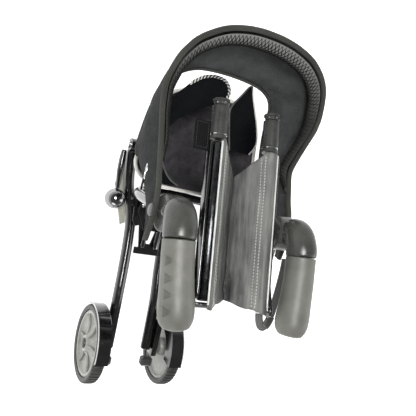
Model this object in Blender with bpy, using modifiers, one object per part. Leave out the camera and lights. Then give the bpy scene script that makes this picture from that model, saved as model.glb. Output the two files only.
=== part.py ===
"""Compact pet stroller, folded and lying on its back.

+X is the stroller's width, +Y runs from the wheels to the top of the hood, +Z is up.
The origin is on the floor, under the middle of the folded bundle.
"""
import math

import bmesh
import bpy
from mathutils import Matrix, Vector

# Driving dimensions, in metres
WHEEL_R = 0.061
WHEEL_X = 0.0618
WHEEL_Y = -0.2121
TYRE_HALF = 0.009
GAP = 0.0003

FOLD_Y, FOLD_Z = 0.039, 0.280
BOSS_R = 0.0225
BOSS_IN, BOSS_OUT = 0.0760, 0.0913

FRONT_X = 0.0375
FRONT_PIVOT = Vector((0.0, -0.0507, 0.3310))
FRONT_TOP = Vector((0.0, 0.1833, 0.2611))
FRONT_TUBE_R = 0.0085
SLEEVE_R = 0.0106

REAR_Y, REAR_Z = 0.105, 0.037
LEG_R = 0.0085

MOUTH_Z = 0.163
CABIN_FLOOR_Z = 0.075
CLOTH = 0.0014
RIM_R = 0.0035
INNER_R = 0.0022

SIDES = (("left", -1), ("right", 1))


def clear_scene():
    for old in list(bpy.data.objects):
        bpy.data.objects.remove(old, do_unlink=True)
    for group in list(bpy.data.collections):
        bpy.data.collections.remove(group)


clear_scene()
PARTS = bpy.data.collections.new("pet_stroller")
CUTTERS = bpy.data.collections.new("cutters")
CUTTERS.hide_render = True
bpy.context.scene.collection.children.link(PARTS)
bpy.context.scene.collection.children.link(CUTTERS)


def surface(name, colour, roughness, metallic=0.0):
    mat = bpy.data.materials.new(name)
    mat.use_nodes = True
    shader = mat.node_tree.nodes["Principled BSDF"]
    shader.inputs["Base Color"].default_value = (*colour, 1.0)
    shader.inputs["Roughness"].default_value = roughness
    shader.inputs["Metallic"].default_value = metallic
    return mat


GLOSS_BLACK = ("gloss_black", (0.012, 0.012, 0.013), 0.18, 0.3)
BRUSHED_TUBE = ("front_tube_grey", (0.09, 0.095, 0.10), 0.30, 0.7)
CHROME = ("bright_pin", (0.72, 0.72, 0.72), 0.12, 1.0)
GREY_GRIP = ("grip_rubber", (0.17, 0.165, 0.155), 0.60)
DARK_SHELL = ("shell_plastic", (0.055, 0.055, 0.056), 0.42)
SLEEVE_BLACK = ("sleeve_plastic", (0.03, 0.03, 0.032), 0.45)
CHARCOAL = ("hood_cloth", (0.028, 0.028, 0.027), 0.90)
BINDING = ("binding_cloth", (0.050, 0.050, 0.045), 0.85)
LINING = ("lining_cloth", (0.065, 0.060, 0.075), 0.85)
PANEL_CLOTH = ("panel_cloth", (0.045, 0.047, 0.052), 0.50)
WEBBING = ("webbing", (0.020, 0.020, 0.020), 0.80)
PIPING = ("white_piping", (0.75, 0.74, 0.70), 0.60)
TYRE_RUBBER = ("tyre_rubber", (0.030, 0.030, 0.031), 0.75)
WHEEL_GREY = ("wheel_plastic", (0.50, 0.52, 0.50), 0.40)
PALE_PANEL = ("pale_panel", (0.70, 0.70, 0.62), 0.45)


def finish(obj, mat):
    """Moves an object into the parts collection with its own material."""
    for group in list(obj.users_collection):
        group.objects.unlink(obj)
    PARTS.objects.link(obj)
    obj.data.materials.clear()
    obj.data.materials.append(surface(obj.name + "_" + mat[0], *mat[1:]))
    if obj.type == "MESH":
        obj.data.shade_smooth()
        obj.data.set_sharp_from_angle(angle=math.radians(35))
    return obj


def new_mesh_object(name, bm):
    bmesh.ops.recalc_face_normals(bm, faces=bm.faces)
    mesh = bpy.data.meshes.new(name)
    bm.to_mesh(mesh)
    bm.free()
    obj = bpy.data.objects.new(name, mesh)
    PARTS.objects.link(obj)
    return obj


def bevel(obj, width, segments=1):
    mod = obj.modifiers.new("Rounded edges", "BEVEL")
    mod.width = width
    mod.segments = segments
    mod.limit_method = "ANGLE"
    mod.angle_limit = math.radians(40)


def solidify(obj, thickness, offset=0.0):
    mod = obj.modifiers.new("Cloth thickness", "SOLIDIFY")
    mod.thickness = thickness
    mod.offset = offset
    mod.use_even_offset = True


def smooth_path(points, per):
    """Catmull-Rom points through a row of control tuples of any length."""
    out = []
    last = len(points) - 1
    for i in range(last):
        p0, p1 = points[max(i - 1, 0)], points[i]
        p2, p3 = points[i + 1], points[min(i + 2, last)]
        for k in range(per):
            t = k / per
            out.append(tuple(
                0.5 * (2 * b + (c - a) * t + (2 * a - 5 * b + 4 * c - d) * t * t
                       + (3 * b - a - 3 * c + d) * t ** 3)
                for a, b, c, d in zip(p0, p1, p2, p3)))
    out.append(tuple(points[-1]))
    return out


def resample(points, count):
    """Points spaced evenly by length along a path."""
    pts = [Vector(p) for p in points]
    run = [0.0]
    for a, b in zip(pts, pts[1:]):
        run.append(run[-1] + (b - a).length)
    out, j = [], 0
    for i in range(count):
        want = run[-1] * i / (count - 1)
        while j < len(run) - 2 and run[j + 1] < want:
            j += 1
        step = run[j + 1] - run[j]
        out.append(pts[j].lerp(pts[j + 1], (want - run[j]) / step if step else 0.0))
    return out


def both_sides(half):
    """A right-hand half path that ends at x = 0, carried on as its mirror image."""
    return [(-p[0], *p[1:]) for p in half][:-1] + [tuple(p) for p in reversed(half)]


def mirrored(points, side):
    return [(side * p[0], *p[1:]) for p in points]


def tube(name, points, radius, mat, resolution=3, closed=False):
    """A round tube; a fourth number in a point scales the radius there."""
    curve = bpy.data.curves.new(name, "CURVE")
    curve.dimensions = "3D"
    curve.bevel_depth = radius
    curve.bevel_resolution = resolution
    curve.use_fill_caps = not closed
    line = curve.splines.new("POLY")
    line.points.add(len(points) - 1)
    for spot, p in zip(line.points, points):
        spot.co = (*p[:3], 1.0)
        spot.radius = p[3] if len(p) > 3 else 1.0
    line.use_cyclic_u = closed
    obj = bpy.data.objects.new(name, curve)
    return finish(obj, mat)


def rod(name, start, end, radius, mat, verts=20, edge=0.0):
    """A solid cylinder between two points."""
    start, end = Vector(start), Vector(end)
    bpy.ops.mesh.primitive_cylinder_add(
        vertices=verts, radius=radius, depth=(end - start).length,
        location=(start + end) / 2)
    obj = bpy.context.object
    obj.name = name
    obj.rotation_mode = "QUATERNION"
    obj.rotation_quaternion = (end - start).to_track_quat("Z", "Y")
    if edge:
        bevel(obj, edge)
    return finish(obj, mat)


def box(name, low, high, mat, edge=0.001):
    bm = bmesh.new()
    low, high = Vector(low), Vector(high)
    bmesh.ops.create_cube(bm, size=1.0)
    for v in bm.verts:
        v.co = Vector((low[i] if v.co[i] < 0 else high[i]) for i in range(3))
    obj = new_mesh_object(name, bm)
    if edge:
        bevel(obj, edge)
    return finish(obj, mat)


def turned(name, profile, centre, axis, mat, steps=20):
    """A ring turned about axis; the closed profile is (radius, height) pairs."""
    mesh = bpy.data.meshes.new(name)
    count = len(profile)
    mesh.from_pydata([(r, 0.0, h) for r, h in profile],
                     [(i, (i + 1) % count) for i in range(count)], [])
    obj = bpy.data.objects.new(name, mesh)
    PARTS.objects.link(obj)
    obj.location = centre
    obj.rotation_mode = "QUATERNION"
    obj.rotation_quaternion = Vector(axis).to_track_quat("Z", "Y")
    mod = obj.modifiers.new("Turned", "SCREW")
    mod.angle = math.tau
    mod.steps = mod.render_steps = steps
    mod.use_merge_vertices = True
    mod.merge_threshold = 0.00005
    mod.use_smooth_shade = True
    return finish(obj, mat)


def capsule(p, q, radius, steps=8):
    """Outline of a bar with round ends, as a closed list of 2D points."""
    p, q = Vector(p), Vector(q)
    lead = math.atan2(q.y - p.y, q.x - p.x)
    out = []
    for centre, start in ((q, lead - math.pi / 2), (p, lead + math.pi / 2)):
        for k in range(steps + 1):
            a = start + math.pi * k / steps
            out.append((centre.x + radius * math.cos(a), centre.y + radius * math.sin(a)))
    return out


def plate(name, outline, low, high, mat, across="z"):
    """A flat outline given thickness from low to high, along z or along x (drawn in y, z)."""
    curve = bpy.data.curves.new(name, "CURVE")
    curve.dimensions = "2D"
    curve.fill_mode = "BOTH"
    curve.extrude = abs(high - low) / 2
    line = curve.splines.new("POLY")
    line.points.add(len(outline) - 1)
    for spot, p in zip(line.points, outline):
        spot.co = (p[0], p[1], 0.0, 1.0)
    line.use_cyclic_u = True
    obj = bpy.data.objects.new(name, curve)
    if across == "x":
        turn = Matrix(((0, 0, 1), (1, 0, 0), (0, 1, 0))).to_4x4()
        obj.matrix_world = Matrix.Translation(((low + high) / 2, 0, 0)) @ turn
    else:
        obj.location = (0, 0, (low + high) / 2)
    return finish(obj, mat)


def skin(name, rows, mat, closed_rows=False, caps=False):
    """A surface through rows of equal point counts; caps close the first and last row."""
    bm = bmesh.new()
    grid = [[bm.verts.new(p) for p in row] for row in rows]
    wide = len(grid[0])
    for low, high in zip(grid, grid[1:]):
        for j in range(wide if closed_rows else wide - 1):
            k = (j + 1) % wide
            bm.faces.new((low[j], low[k], high[k], high[j]))
    if caps:
        bm.faces.new(grid[0])
        bm.faces.new(grid[-1])
    return finish(new_mesh_object(name, bm), mat)


def as_mesh(obj):
    """Replaces a curve object with a welded mesh of the same shape and name."""
    name = obj.name
    graph = bpy.context.evaluated_depsgraph_get()
    mesh = bpy.data.meshes.new_from_object(obj.evaluated_get(graph))
    bm = bmesh.new()
    bm.from_mesh(mesh)
    bmesh.ops.remove_doubles(bm, verts=bm.verts, dist=0.00002)
    bmesh.ops.recalc_face_normals(bm, faces=bm.faces)
    bm.to_mesh(mesh)
    bm.free()
    place = obj.matrix_world.copy()
    materials = list(obj.data.materials)
    bpy.data.objects.remove(obj, do_unlink=True)
    solid = bpy.data.objects.new(name, mesh)
    solid.matrix_world = place
    mesh.materials.clear()
    for mat in materials:
        mesh.materials.append(mat)
    PARTS.objects.link(solid)
    return solid


def combine(base, tool, operation):
    for group in list(tool.users_collection):
        group.objects.unlink(tool)
    CUTTERS.objects.link(tool)
    tool.hide_render = True
    tool.display_type = "WIRE"
    mod = base.modifiers.new(operation.title(), "BOOLEAN")
    mod.operation = operation
    mod.solver = "EXACT"
    mod.object = tool


# ---------------------------------------------------------------- main frame

arm = [(0.0745, 0.039, 0.2500), (0.0745, 0.040, 0.2000), (0.0710, 0.042, 0.1500),
       (0.0560, 0.044, 0.1170), (0.0300, 0.045, 0.1060), (0.0, 0.045, 0.1050)]
tube("seat_frame", smooth_path(both_sides(arm), 3), 0.007, GLOSS_BLACK, resolution=2)

spine = [(0.0523, 0.113), (0.0523, 0.096), (0.080, 0.050), (0.090, 0.026), (0.120, 0.026),
         (0.120, 0.050), (0.092, 0.068), (0.068, 0.0735), (0.062, 0.113)]
spine_block = as_mesh(plate("spine", spine, -0.012, 0.012, GLOSS_BLACK, across="x"))
combine(spine_block, rod("spine_bore", (-0.02, REAR_Y, REAR_Z), (0.02, REAR_Y, REAR_Z), 0.0056,
                         GLOSS_BLACK), "DIFFERENCE")
rod("rear_shaft", (-0.0640, REAR_Y, REAR_Z), (0.0640, REAR_Y, REAR_Z), 0.0053, CHROME)
stand = [(0.0065, 0.1206, 0.038), (0.0080, 0.130, 0.036), (0.0180, 0.147, 0.022),
         (0.0200, 0.156, 0.0140), (0.0120, 0.158, 0.0125), (0.0, 0.158, 0.0125)]
tube("rest_bar", smooth_path(both_sides(stand), 2), 0.0050, GLOSS_BLACK, resolution=2)
box("rest_pad", (-0.0160, 0.1500, 0.0), (0.0160, 0.1660, 0.0072), SLEEVE_BLACK, edge=0.0008)

for side, s in SIDES:
    plate("hub_block_" + side, capsule((FOLD_Y, FOLD_Z), (0.040, 0.247), 0.0105),
          s * 0.0545, s * 0.0640, GLOSS_BLACK, across="x")
    plate("link_bar_" + side,
          capsule((FOLD_Y, FOLD_Z), (FRONT_PIVOT.y, FRONT_PIVOT.z), 0.0070),
          s * 0.0505, s * 0.0542, GLOSS_BLACK, across="x")
    rod("hub_pin_" + side, (s * 0.0643, FOLD_Y, FOLD_Z), (s * (BOSS_IN - GAP), FOLD_Y, FOLD_Z),
        0.0060, CHROME)
    rod("front_pivot_pin_" + side, (s * 0.0322, FRONT_PIVOT.y, FRONT_PIVOT.z),
        (s * 0.0502, FRONT_PIVOT.y, FRONT_PIVOT.z), 0.0037, CHROME, verts=20)

loop = [(0.0645, 0.0180), (0.0640, 0.000), (0.0650, -0.030), (0.0680, -0.060),
        (0.0740, -0.080), (0.0820, -0.0840), (0.0880, -0.070), (0.0900, -0.040),
        (0.0905, -0.010), (0.0895, 0.008)]
path = smooth_path(loop, 2)
rows = []
for i, p in enumerate(path):
    a, b = path[max(i - 1, 0)], path[min(i + 1, len(path) - 1)]
    way = Vector((b[0] - a[0], b[1] - a[1])).normalized() * 0.0042
    rows.append([(p[0] + s * way.y, p[1] - s * way.x, z)
                 for s, z in ((1, 0.2910), (1, 0.2930), (-1, 0.2930), (-1, 0.2910))])
skin("carry_strap", rows, WEBBING, closed_rows=True, caps=True)

# ---------------------------------------------------------------- cabin and its flaps

MOUTH = [(0.0, 0.0585), (0.045, 0.0590), (0.070, 0.0625), (0.087, 0.0720), (0.0940, 0.0860),
         (0.0915, 0.1000), (0.0868, 0.1150), (0.0840, 0.1350), (0.0820, 0.1500),
         (0.0780, 0.1680), (0.0660, 0.1850), (0.0420, 0.1960), (0.0, 0.1990)]
FLOOR = [(0.0, 0.0765), (0.026, 0.0770), (0.040, 0.0800), (0.0480, 0.0870), (0.0510, 0.0960),
         (0.0520, 0.1050), (0.0520, 0.1150), (0.0510, 0.1280), (0.0490, 0.1400),
         (0.0460, 0.1520), (0.0390, 0.1620), (0.0240, 0.1690), (0.0, 0.1710)]


def cabin_ring(t, grow=0.0):
    """The cabin's outline at depth t, from 0 at the mouth to 1 at the floor."""
    half = []
    for m, f in zip(MOUTH, FLOOR):
        bulge = 0.25 * math.sin(math.pi * t) * t
        k = t - bulge
        half.append((m[0] + (f[0] - m[0]) * k, m[1] + (f[1] - m[1]) * k))
    ring = half + [(-x, y) for x, y in reversed(half[1:-1])]
    z = MOUTH_Z + (CABIN_FLOOR_Z - MOUTH_Z) * t
    cy = 0.122
    return [(x * (1 + grow), cy + (y - cy) * (1 + grow), z) for x, y in ring]


rows = [cabin_ring(t) for t in (0, 0.2, 0.45, 0.7, 0.9)]
for shrink in (0.12, 0.6):
    last = cabin_ring(1.0)
    rows.append([(x * (1 - shrink), 0.122 + (y - 0.122) * (1 - shrink), z) for x, y, z in last])
bm = bmesh.new()
grid = [[bm.verts.new(p) for p in row] for row in rows]
wide = len(grid[0])
for low, high in zip(grid, grid[1:]):
    for j in range(wide):
        k = (j + 1) % wide
        bm.faces.new((low[j], high[j], high[k], low[k]))
bm.faces.new(grid[-1])
cabin = new_mesh_object("cabin", bm)
solidify(cabin, 0.0018, offset=-1.0)
finish(cabin, LINING)

lip = [(x, y, MOUTH_Z + 0.0036) for x, y, _ in cabin_ring(0.0, -0.010)]
tube("cabin_piping", lip, 0.0024, PIPING, resolution=1, closed=True)

flap_left = [(-0.0720, 0.1700), (-0.0570, 0.1870), (-0.0430, 0.2035), (-0.0270, 0.2160),
             (-0.0100, 0.2215), (0.0060, 0.2205), (0.0140, 0.2140), (0.0170, 0.2035),
             (0.0110, 0.1900), (-0.0100, 0.1800), (-0.0330, 0.1665), (-0.0500, 0.1520),
             (-0.0630, 0.1345), (-0.0720, 0.1400), (-0.0760, 0.1550)]
flap_right = [(0.0520, 0.2240), (0.0570, 0.2100), (0.0660, 0.1900), (0.0740, 0.1720),
              (0.0800, 0.1470), (0.0720, 0.1300), (0.0386, 0.1297), (0.0293, 0.1637),
              (0.0255, 0.1868), (0.0384, 0.2090), (0.0470, 0.2220)]
plate("flap_left", flap_left, 0.1700, 0.1718, WEBBING)
plate("flap_right", flap_right, 0.1700, 0.1718, CHARCOAL)

# ---------------------------------------------------------------- hood

RIM = [(0.0970, 0.002, 0.268), (0.0966, 0.020, 0.272), (0.0963, 0.039, 0.2745),
       (0.0958, 0.055, 0.271), (0.0951, 0.0675, 0.267), (0.0948, 0.0775, 0.262),
       (0.0952, 0.0975, 0.254), (0.0960, 0.1175, 0.247), (0.1005, 0.1375, 0.2485),
       (0.1059, 0.1575, 0.252), (0.1100, 0.1775, 0.2577), (0.1106, 0.1875, 0.2600),
       (0.1095, 0.1975, 0.2630), (0.1048, 0.2150, 0.2677), (0.0985, 0.2275, 0.2727),
       (0.0905, 0.2385, 0.2762), (0.0774, 0.2490, 0.2802), (0.0607, 0.2586, 0.2825),
       (0.0387, 0.2655, 0.2832), (0.0180, 0.2689, 0.2832), (0.0, 0.2696, 0.2830)]
BACK = [(0.0962, 0.004, 0.257), (0.0962, 0.030, 0.250), (0.0968, 0.055, 0.232),
        (0.0985, 0.080, 0.205), (0.0985, 0.100, 0.1765), (0.0965, 0.1135, 0.170),
        (0.0945, 0.1265, 0.168), (0.0915, 0.1485, 0.168), (0.0880, 0.1705, 0.171),
        (0.0840, 0.1875, 0.178), (0.0770, 0.2010, 0.188), (0.0660, 0.2120, 0.195),
        (0.0500, 0.2195, 0.198), (0.0300, 0.2230, 0.199), (0.0, 0.2245, 0.199)]
HOOD_COLUMNS = 37
rim = resample(smooth_path(both_sides(RIM), 4), HOOD_COLUMNS)
back = resample(smooth_path(both_sides(BACK), 4), HOOD_COLUMNS)
tube("rim_bow", rim, RIM_R, BINDING, resolution=2)
inset = slice(7, -7)
tube("inner_bow", back[inset], INNER_R, BINDING, resolution=2)
rows = []
for r in range(4):
    row = []
    for a, b in zip(rim, back):
        span = (b - a).length
        t0 = (RIM_R + 0.0012) / span
        t1 = 1.0 - (INNER_R + 0.0012) / span
        t = t0 + (t1 - t0) * r / 3
        out = Vector((a.x, a.y - 0.12, 0.0)).normalized() if a.y > 0.12 else Vector((a.x, 0, 0))
        out = out.normalized() * 0.0035 * math.sin(math.pi * t) * min(1.0, span / 0.06) ** 2
        row.append(a.lerp(b, t) + out)
    rows.append(row)
hood = skin("hood_fabric", rows, CHARCOAL)
solidify(hood, CLOTH)
for side, s in SIDES:
    rod("hood_cap_" + side, (s * 0.1000, FOLD_Y, 0.2745), (s * 0.1032, FOLD_Y, 0.2745), 0.0078,
        DARK_SHELL, edge=0.0006)

# ---------------------------------------------------------------- handles

ELBOW = [(0.0838, 0.0395, 0.2820, 0.39), (0.0836, 0.0425, 0.2950, 0.45),
         (0.0826, 0.0440, 0.3050, 0.80), (0.0830, 0.0395, 0.3170, 0.97),
         (0.0835, 0.0290, 0.3250, 1.0), (0.0836, 0.0192, 0.3282, 0.97)]
GRIP = [(0.0836, 0.0186, 0.3284, 0.84), (0.0832, 0.0080, 0.3312, 0.87),
        (0.0820, -0.0120, 0.3370, 0.90), (0.0800, -0.0330, 0.3425, 0.94),
        (0.0780, -0.0520, 0.3470, 1.0), (0.0765, -0.0640, 0.3495, 0.99),
        (0.0757, -0.0702, 0.3505, 0.88), (0.0754, -0.0730, 0.3510, 0.64)]
for side, s in SIDES:
    shell = rod("handle_shell_" + side, (s * BOSS_IN, FOLD_Y, FOLD_Z),
                (s * BOSS_OUT, FOLD_Y, FOLD_Z), BOSS_R, DARK_SHELL, verts=28, edge=0.003)
    elbow = as_mesh(tube("elbow_" + side, smooth_path(mirrored(ELBOW, s), 2), 0.0193,
                         DARK_SHELL, resolution=4))
    combine(shell, elbow, "UNION")
    tube("grip_" + side, smooth_path(mirrored(GRIP, s), 2), 0.0205, GREY_GRIP, resolution=4)
    for place, y, z in (("upper", 0.0534, 0.2745), ("lower", 0.0249, 0.2858)):
        rod("handle_screw_" + place + "_" + side, (s * (BOSS_IN - GAP), y, z),
            (s * (BOSS_IN - 0.0016), y, z), 0.0028, CHROME, verts=20)

# ---------------------------------------------------------------- front legs

ALONG = (FRONT_TOP - FRONT_PIVOT).normalized()
FACE = Vector((1, 0, 0)).cross(ALONG)


def on_leg(x, t, n=0.0):
    """A point x across, t up the front legs from their pivot, n out from their plane."""
    return Vector((x, 0, 0)) + FRONT_PIVOT + ALONG * t + FACE * n


socket = [(0.0105, 0.0), (0.0105, -0.0030), (0.0088, -0.0036), (0.0088, -0.0078),
          (0.0050, -0.0078), (0.0050, 0.0)]
sleeve = [(SLEEVE_R, 0.0190), (SLEEVE_R, -0.0145), (0.0112, -0.0150), (0.0112, -0.0178),
          (0.0100, -0.0182), (0.0100, -0.0205), (0.0108, -0.0210), (0.0108, -0.0225),
          (0.0040, -0.0225), (0.0040, 0.0190)]
for side, s in SIDES:
    x = s * FRONT_X
    leg_tube = rod("front_tube_" + side, on_leg(x, 0.0046), on_leg(x, 0.1920), FRONT_TUBE_R,
                   BRUSHED_TUBE)
    combine(leg_tube, turned("knuckle_" + side, [(0.0060, 0.0058), (0.0060, -0.0058),
                                                (0.0041, -0.0058), (0.0041, 0.0058)],
                             on_leg(x, 0), (1, 0, 0), BRUSHED_TUBE), "UNION")
    turned("front_sleeve_" + side, sleeve, on_leg(x, 0.2155), ALONG, SLEEVE_BLACK)
    turned("front_socket_" + side, socket, on_leg(x, 0.2430), ALONG, SLEEVE_BLACK)

VALLEY = [(0.0, -0.0150), (0.0060, -0.0125), (0.0140, -0.0075), (0.0220, -0.0010),
          (0.0275, 0.0045)]
WRAP = [(FRONT_X + 0.0101 * math.cos(math.radians(a)), 0.0101 * math.sin(math.radians(a)))
        for a in (128, 110, 90, 70, 50, 31)]
section = [(-x, n) for x, n in reversed(VALLEY[1:] + WRAP)] + VALLEY + WRAP
rows = []
PANEL_ROWS = 5
for r in range(PANEL_ROWS + 1):
    row = []
    for x, n in section:
        near = max(0.0, 1 - abs(x) / 0.030)
        top = 0.1922 - 0.034 * near
        hem = -0.0035 + 0.013 * near + 0.0012 * math.cos(x * 420)
        t = hem + (top - hem) * r / PANEL_ROWS
        row.append(on_leg(x, t, n))
    rows.append(row)
panel = skin("front_panel", rows, PANEL_CLOTH)
solidify(panel, 0.0011)

bm = bmesh.new()
for k in range(8):
    corner = on_leg(-0.0488 if k & 1 else -0.0700, 0.176 if k & 2 else 0.2135,
                    0.0011 if k & 4 else -0.0011)
    bm.verts.new(corner)
bmesh.ops.convex_hull(bm, input=bm.verts)
finish(new_mesh_object("webbing_flap", bm), WEBBING)

# ---------------------------------------------------------------- rear legs and wheels

LEG = [(0.0545, 0.0975, 0.0365), (0.0528, 0.078, 0.0350), (0.0480, 0.045, 0.0340),
       (0.0400, 0.0175, 0.0345), (0.0330, -0.010, 0.0360), (0.0305, -0.040, 0.0390),
       (0.0305, -0.085, 0.0460), (0.0320, -0.1325, 0.0540), (0.0325, -0.185, 0.0585),
       (0.0325, -0.2180, 0.0605)]
for side, s in SIDES:
    leg = as_mesh(tube("rear_leg_" + side, smooth_path(mirrored(LEG, s), 2), LEG_R, GLOSS_BLACK,
                       resolution=3))
    combine(leg, turned("leg_eye_" + side, [(0.0103, 0.0065), (0.0103, -0.0065),
                                            (0.0057, -0.0065), (0.0057, 0.0065)],
                        (s * 0.0545, REAR_Y, REAR_Z), (1, 0, 0), GLOSS_BLACK), "UNION")
    block = box("axle_bracket_" + side, (min(s * 0.0413, s * 0.0505), -0.2270, 0.0500),
                (max(s * 0.0413, s * 0.0505), -0.1660, 0.0700), GLOSS_BLACK, edge=0.002)
    section = [(0.0498, 0.0400), (0.0515, 0.0400), (0.0515, 0.0622), (0.0712, 0.0622),
               (0.0712, 0.0642), (0.0498, 0.0642)]
    rows = []
    for k in range(13):
        a = math.radians(-8 + 116 * k / 12)
        rows.append([(s * x, WHEEL_Y + r * math.sin(a), WHEEL_R + r * math.cos(a))
                     for x, r in section])
    combine(block, skin("fender_" + side, rows, GLOSS_BLACK, closed_rows=True, caps=True),
            "UNION")
    rod("axle_" + side, (s * 0.0508, WHEEL_Y, WHEEL_R), (s * 0.0722, WHEEL_Y, WHEEL_R), 0.0043,
        CHROME, verts=20)
    box("brake_pedal_" + side, (min(s * 0.0250, s * 0.0455), -0.2440, 0.0600),
        (max(s * 0.0250, s * 0.0455), -0.2283, 0.0740), SLEEVE_BLACK, edge=0.003)
    out = (s, 0, 0)
    hub_at = (s * WHEEL_X, WHEEL_Y, WHEEL_R)
    turned("tyre_" + side,
           [(0.0580, 0.0090), (0.0602, 0.0070), (0.0610, 0.0035), (0.0610, -0.0035),
            (0.0602, -0.0070), (0.0580, -0.0090), (0.0515, -0.0080), (0.0515, 0.0080)], hub_at, out, TYRE_RUBBER, steps=32)
    turned("wheel_hub_" + side,
           [(0.0512, 0.0062), (0.0512, -0.0062), (0.0475, -0.0075), (0.0455, -0.0035),
            (0.0150, -0.0015), (0.0130, -0.0085), (0.0046, -0.0085), (0.0046, 0.0105),
            (0.0120, 0.0105), (0.0150, 0.0055), (0.0300, 0.0018), (0.0440, 0.0025),
            (0.0475, 0.0072)], hub_at, out, WHEEL_GREY, steps=24)
    rod("hub_cap_" + side, (s * (WHEEL_X + 0.0108), WHEEL_Y, WHEEL_R),
        (s * (WHEEL_X + 0.0145), WHEEL_Y, WHEEL_R), 0.0080, SLEEVE_BLACK, edge=0.0008)

bracket = [(-0.0420, 0.014), (-0.0390, 0.030), (-0.0200, 0.034), (0.0200, 0.034),
           (0.0390, 0.030), (0.0420, 0.014), (0.0200, 0.006), (-0.0200, 0.006)]
plate("brace_bracket", bracket, 0.0436, 0.0470, GLOSS_BLACK)
brace = [(0.0285, 0.022), (0.0175, 0.022), (0.0035, -0.045)]
foot = [(0.0150, -0.052), (0.0212, -0.052), (0.0212, -0.063)]
outline = brace + [(-x, y) for x, y in reversed(brace)]
outline += [(-x, y) for x, y in foot] + [(x, y) for x, y in reversed(foot)]
plate("brace_frame", outline, 0.0473, 0.0507, GLOSS_BLACK)
for side, s in SIDES:
    rod("brace_rivet_" + side, (s * 0.0225, 0.0165, 0.0510), (s * 0.0225, 0.0165, 0.0530), 0.0036,
        CHROME, verts=20)

# ---------------------------------------------------------------- fold lock on the left leg

LEVER = [(-0.0690, 0.0950, 0.0400, 0.9), (-0.0692, 0.0780, 0.0410, 1.15),
         (-0.0688, 0.0580, 0.0415, 1.1), (-0.0675, 0.0440, 0.0410, 0.8),
         (-0.0668, 0.0345, 0.0402, 0.65)]
tube("lock_lever", smooth_path(LEVER, 2), 0.0044, GLOSS_BLACK, resolution=2)
bpy.ops.mesh.primitive_uv_sphere_add(segments=20, ring_count=10, radius=0.0163,
                                     location=(-0.0668, 0.0175, 0.0400))
knob = bpy.context.object
knob.name = "lock_knob"
finish(knob, GLOSS_BLACK)
wedge = [(-0.0600, 0.0950), (-0.0665, 0.0400), (-0.0440, -0.0250), (-0.0360, -0.0200),
         (-0.0450, 0.0300), (-0.0520, 0.0800)]
plate("lever_guard", wedge, 0.0205, 0.0225, PALE_PANEL)
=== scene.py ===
"""Looks for the folded pet stroller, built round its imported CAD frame."""
import math

import bmesh
import bpy
from mathutils import Matrix, Vector, noise


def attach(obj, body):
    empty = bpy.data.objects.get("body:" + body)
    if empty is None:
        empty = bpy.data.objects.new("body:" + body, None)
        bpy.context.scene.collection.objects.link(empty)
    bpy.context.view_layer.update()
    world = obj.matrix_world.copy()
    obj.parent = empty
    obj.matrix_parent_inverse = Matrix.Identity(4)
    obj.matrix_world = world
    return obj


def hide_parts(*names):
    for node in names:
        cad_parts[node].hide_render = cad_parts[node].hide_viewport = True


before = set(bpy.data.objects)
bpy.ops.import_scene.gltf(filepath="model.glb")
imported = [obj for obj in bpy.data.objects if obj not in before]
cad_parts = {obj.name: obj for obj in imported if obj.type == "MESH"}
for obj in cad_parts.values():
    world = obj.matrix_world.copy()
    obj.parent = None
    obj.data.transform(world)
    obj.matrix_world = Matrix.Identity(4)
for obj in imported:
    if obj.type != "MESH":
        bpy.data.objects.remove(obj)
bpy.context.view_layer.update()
SIDES = (("left", -1), ("right", 1))


# ---- shader helpers


def milli(values):
    """Thousandths as plain numbers: millimetres in metres, or the parts of a colour."""
    return tuple(round(v / 1000, 7) for v in values)


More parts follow.
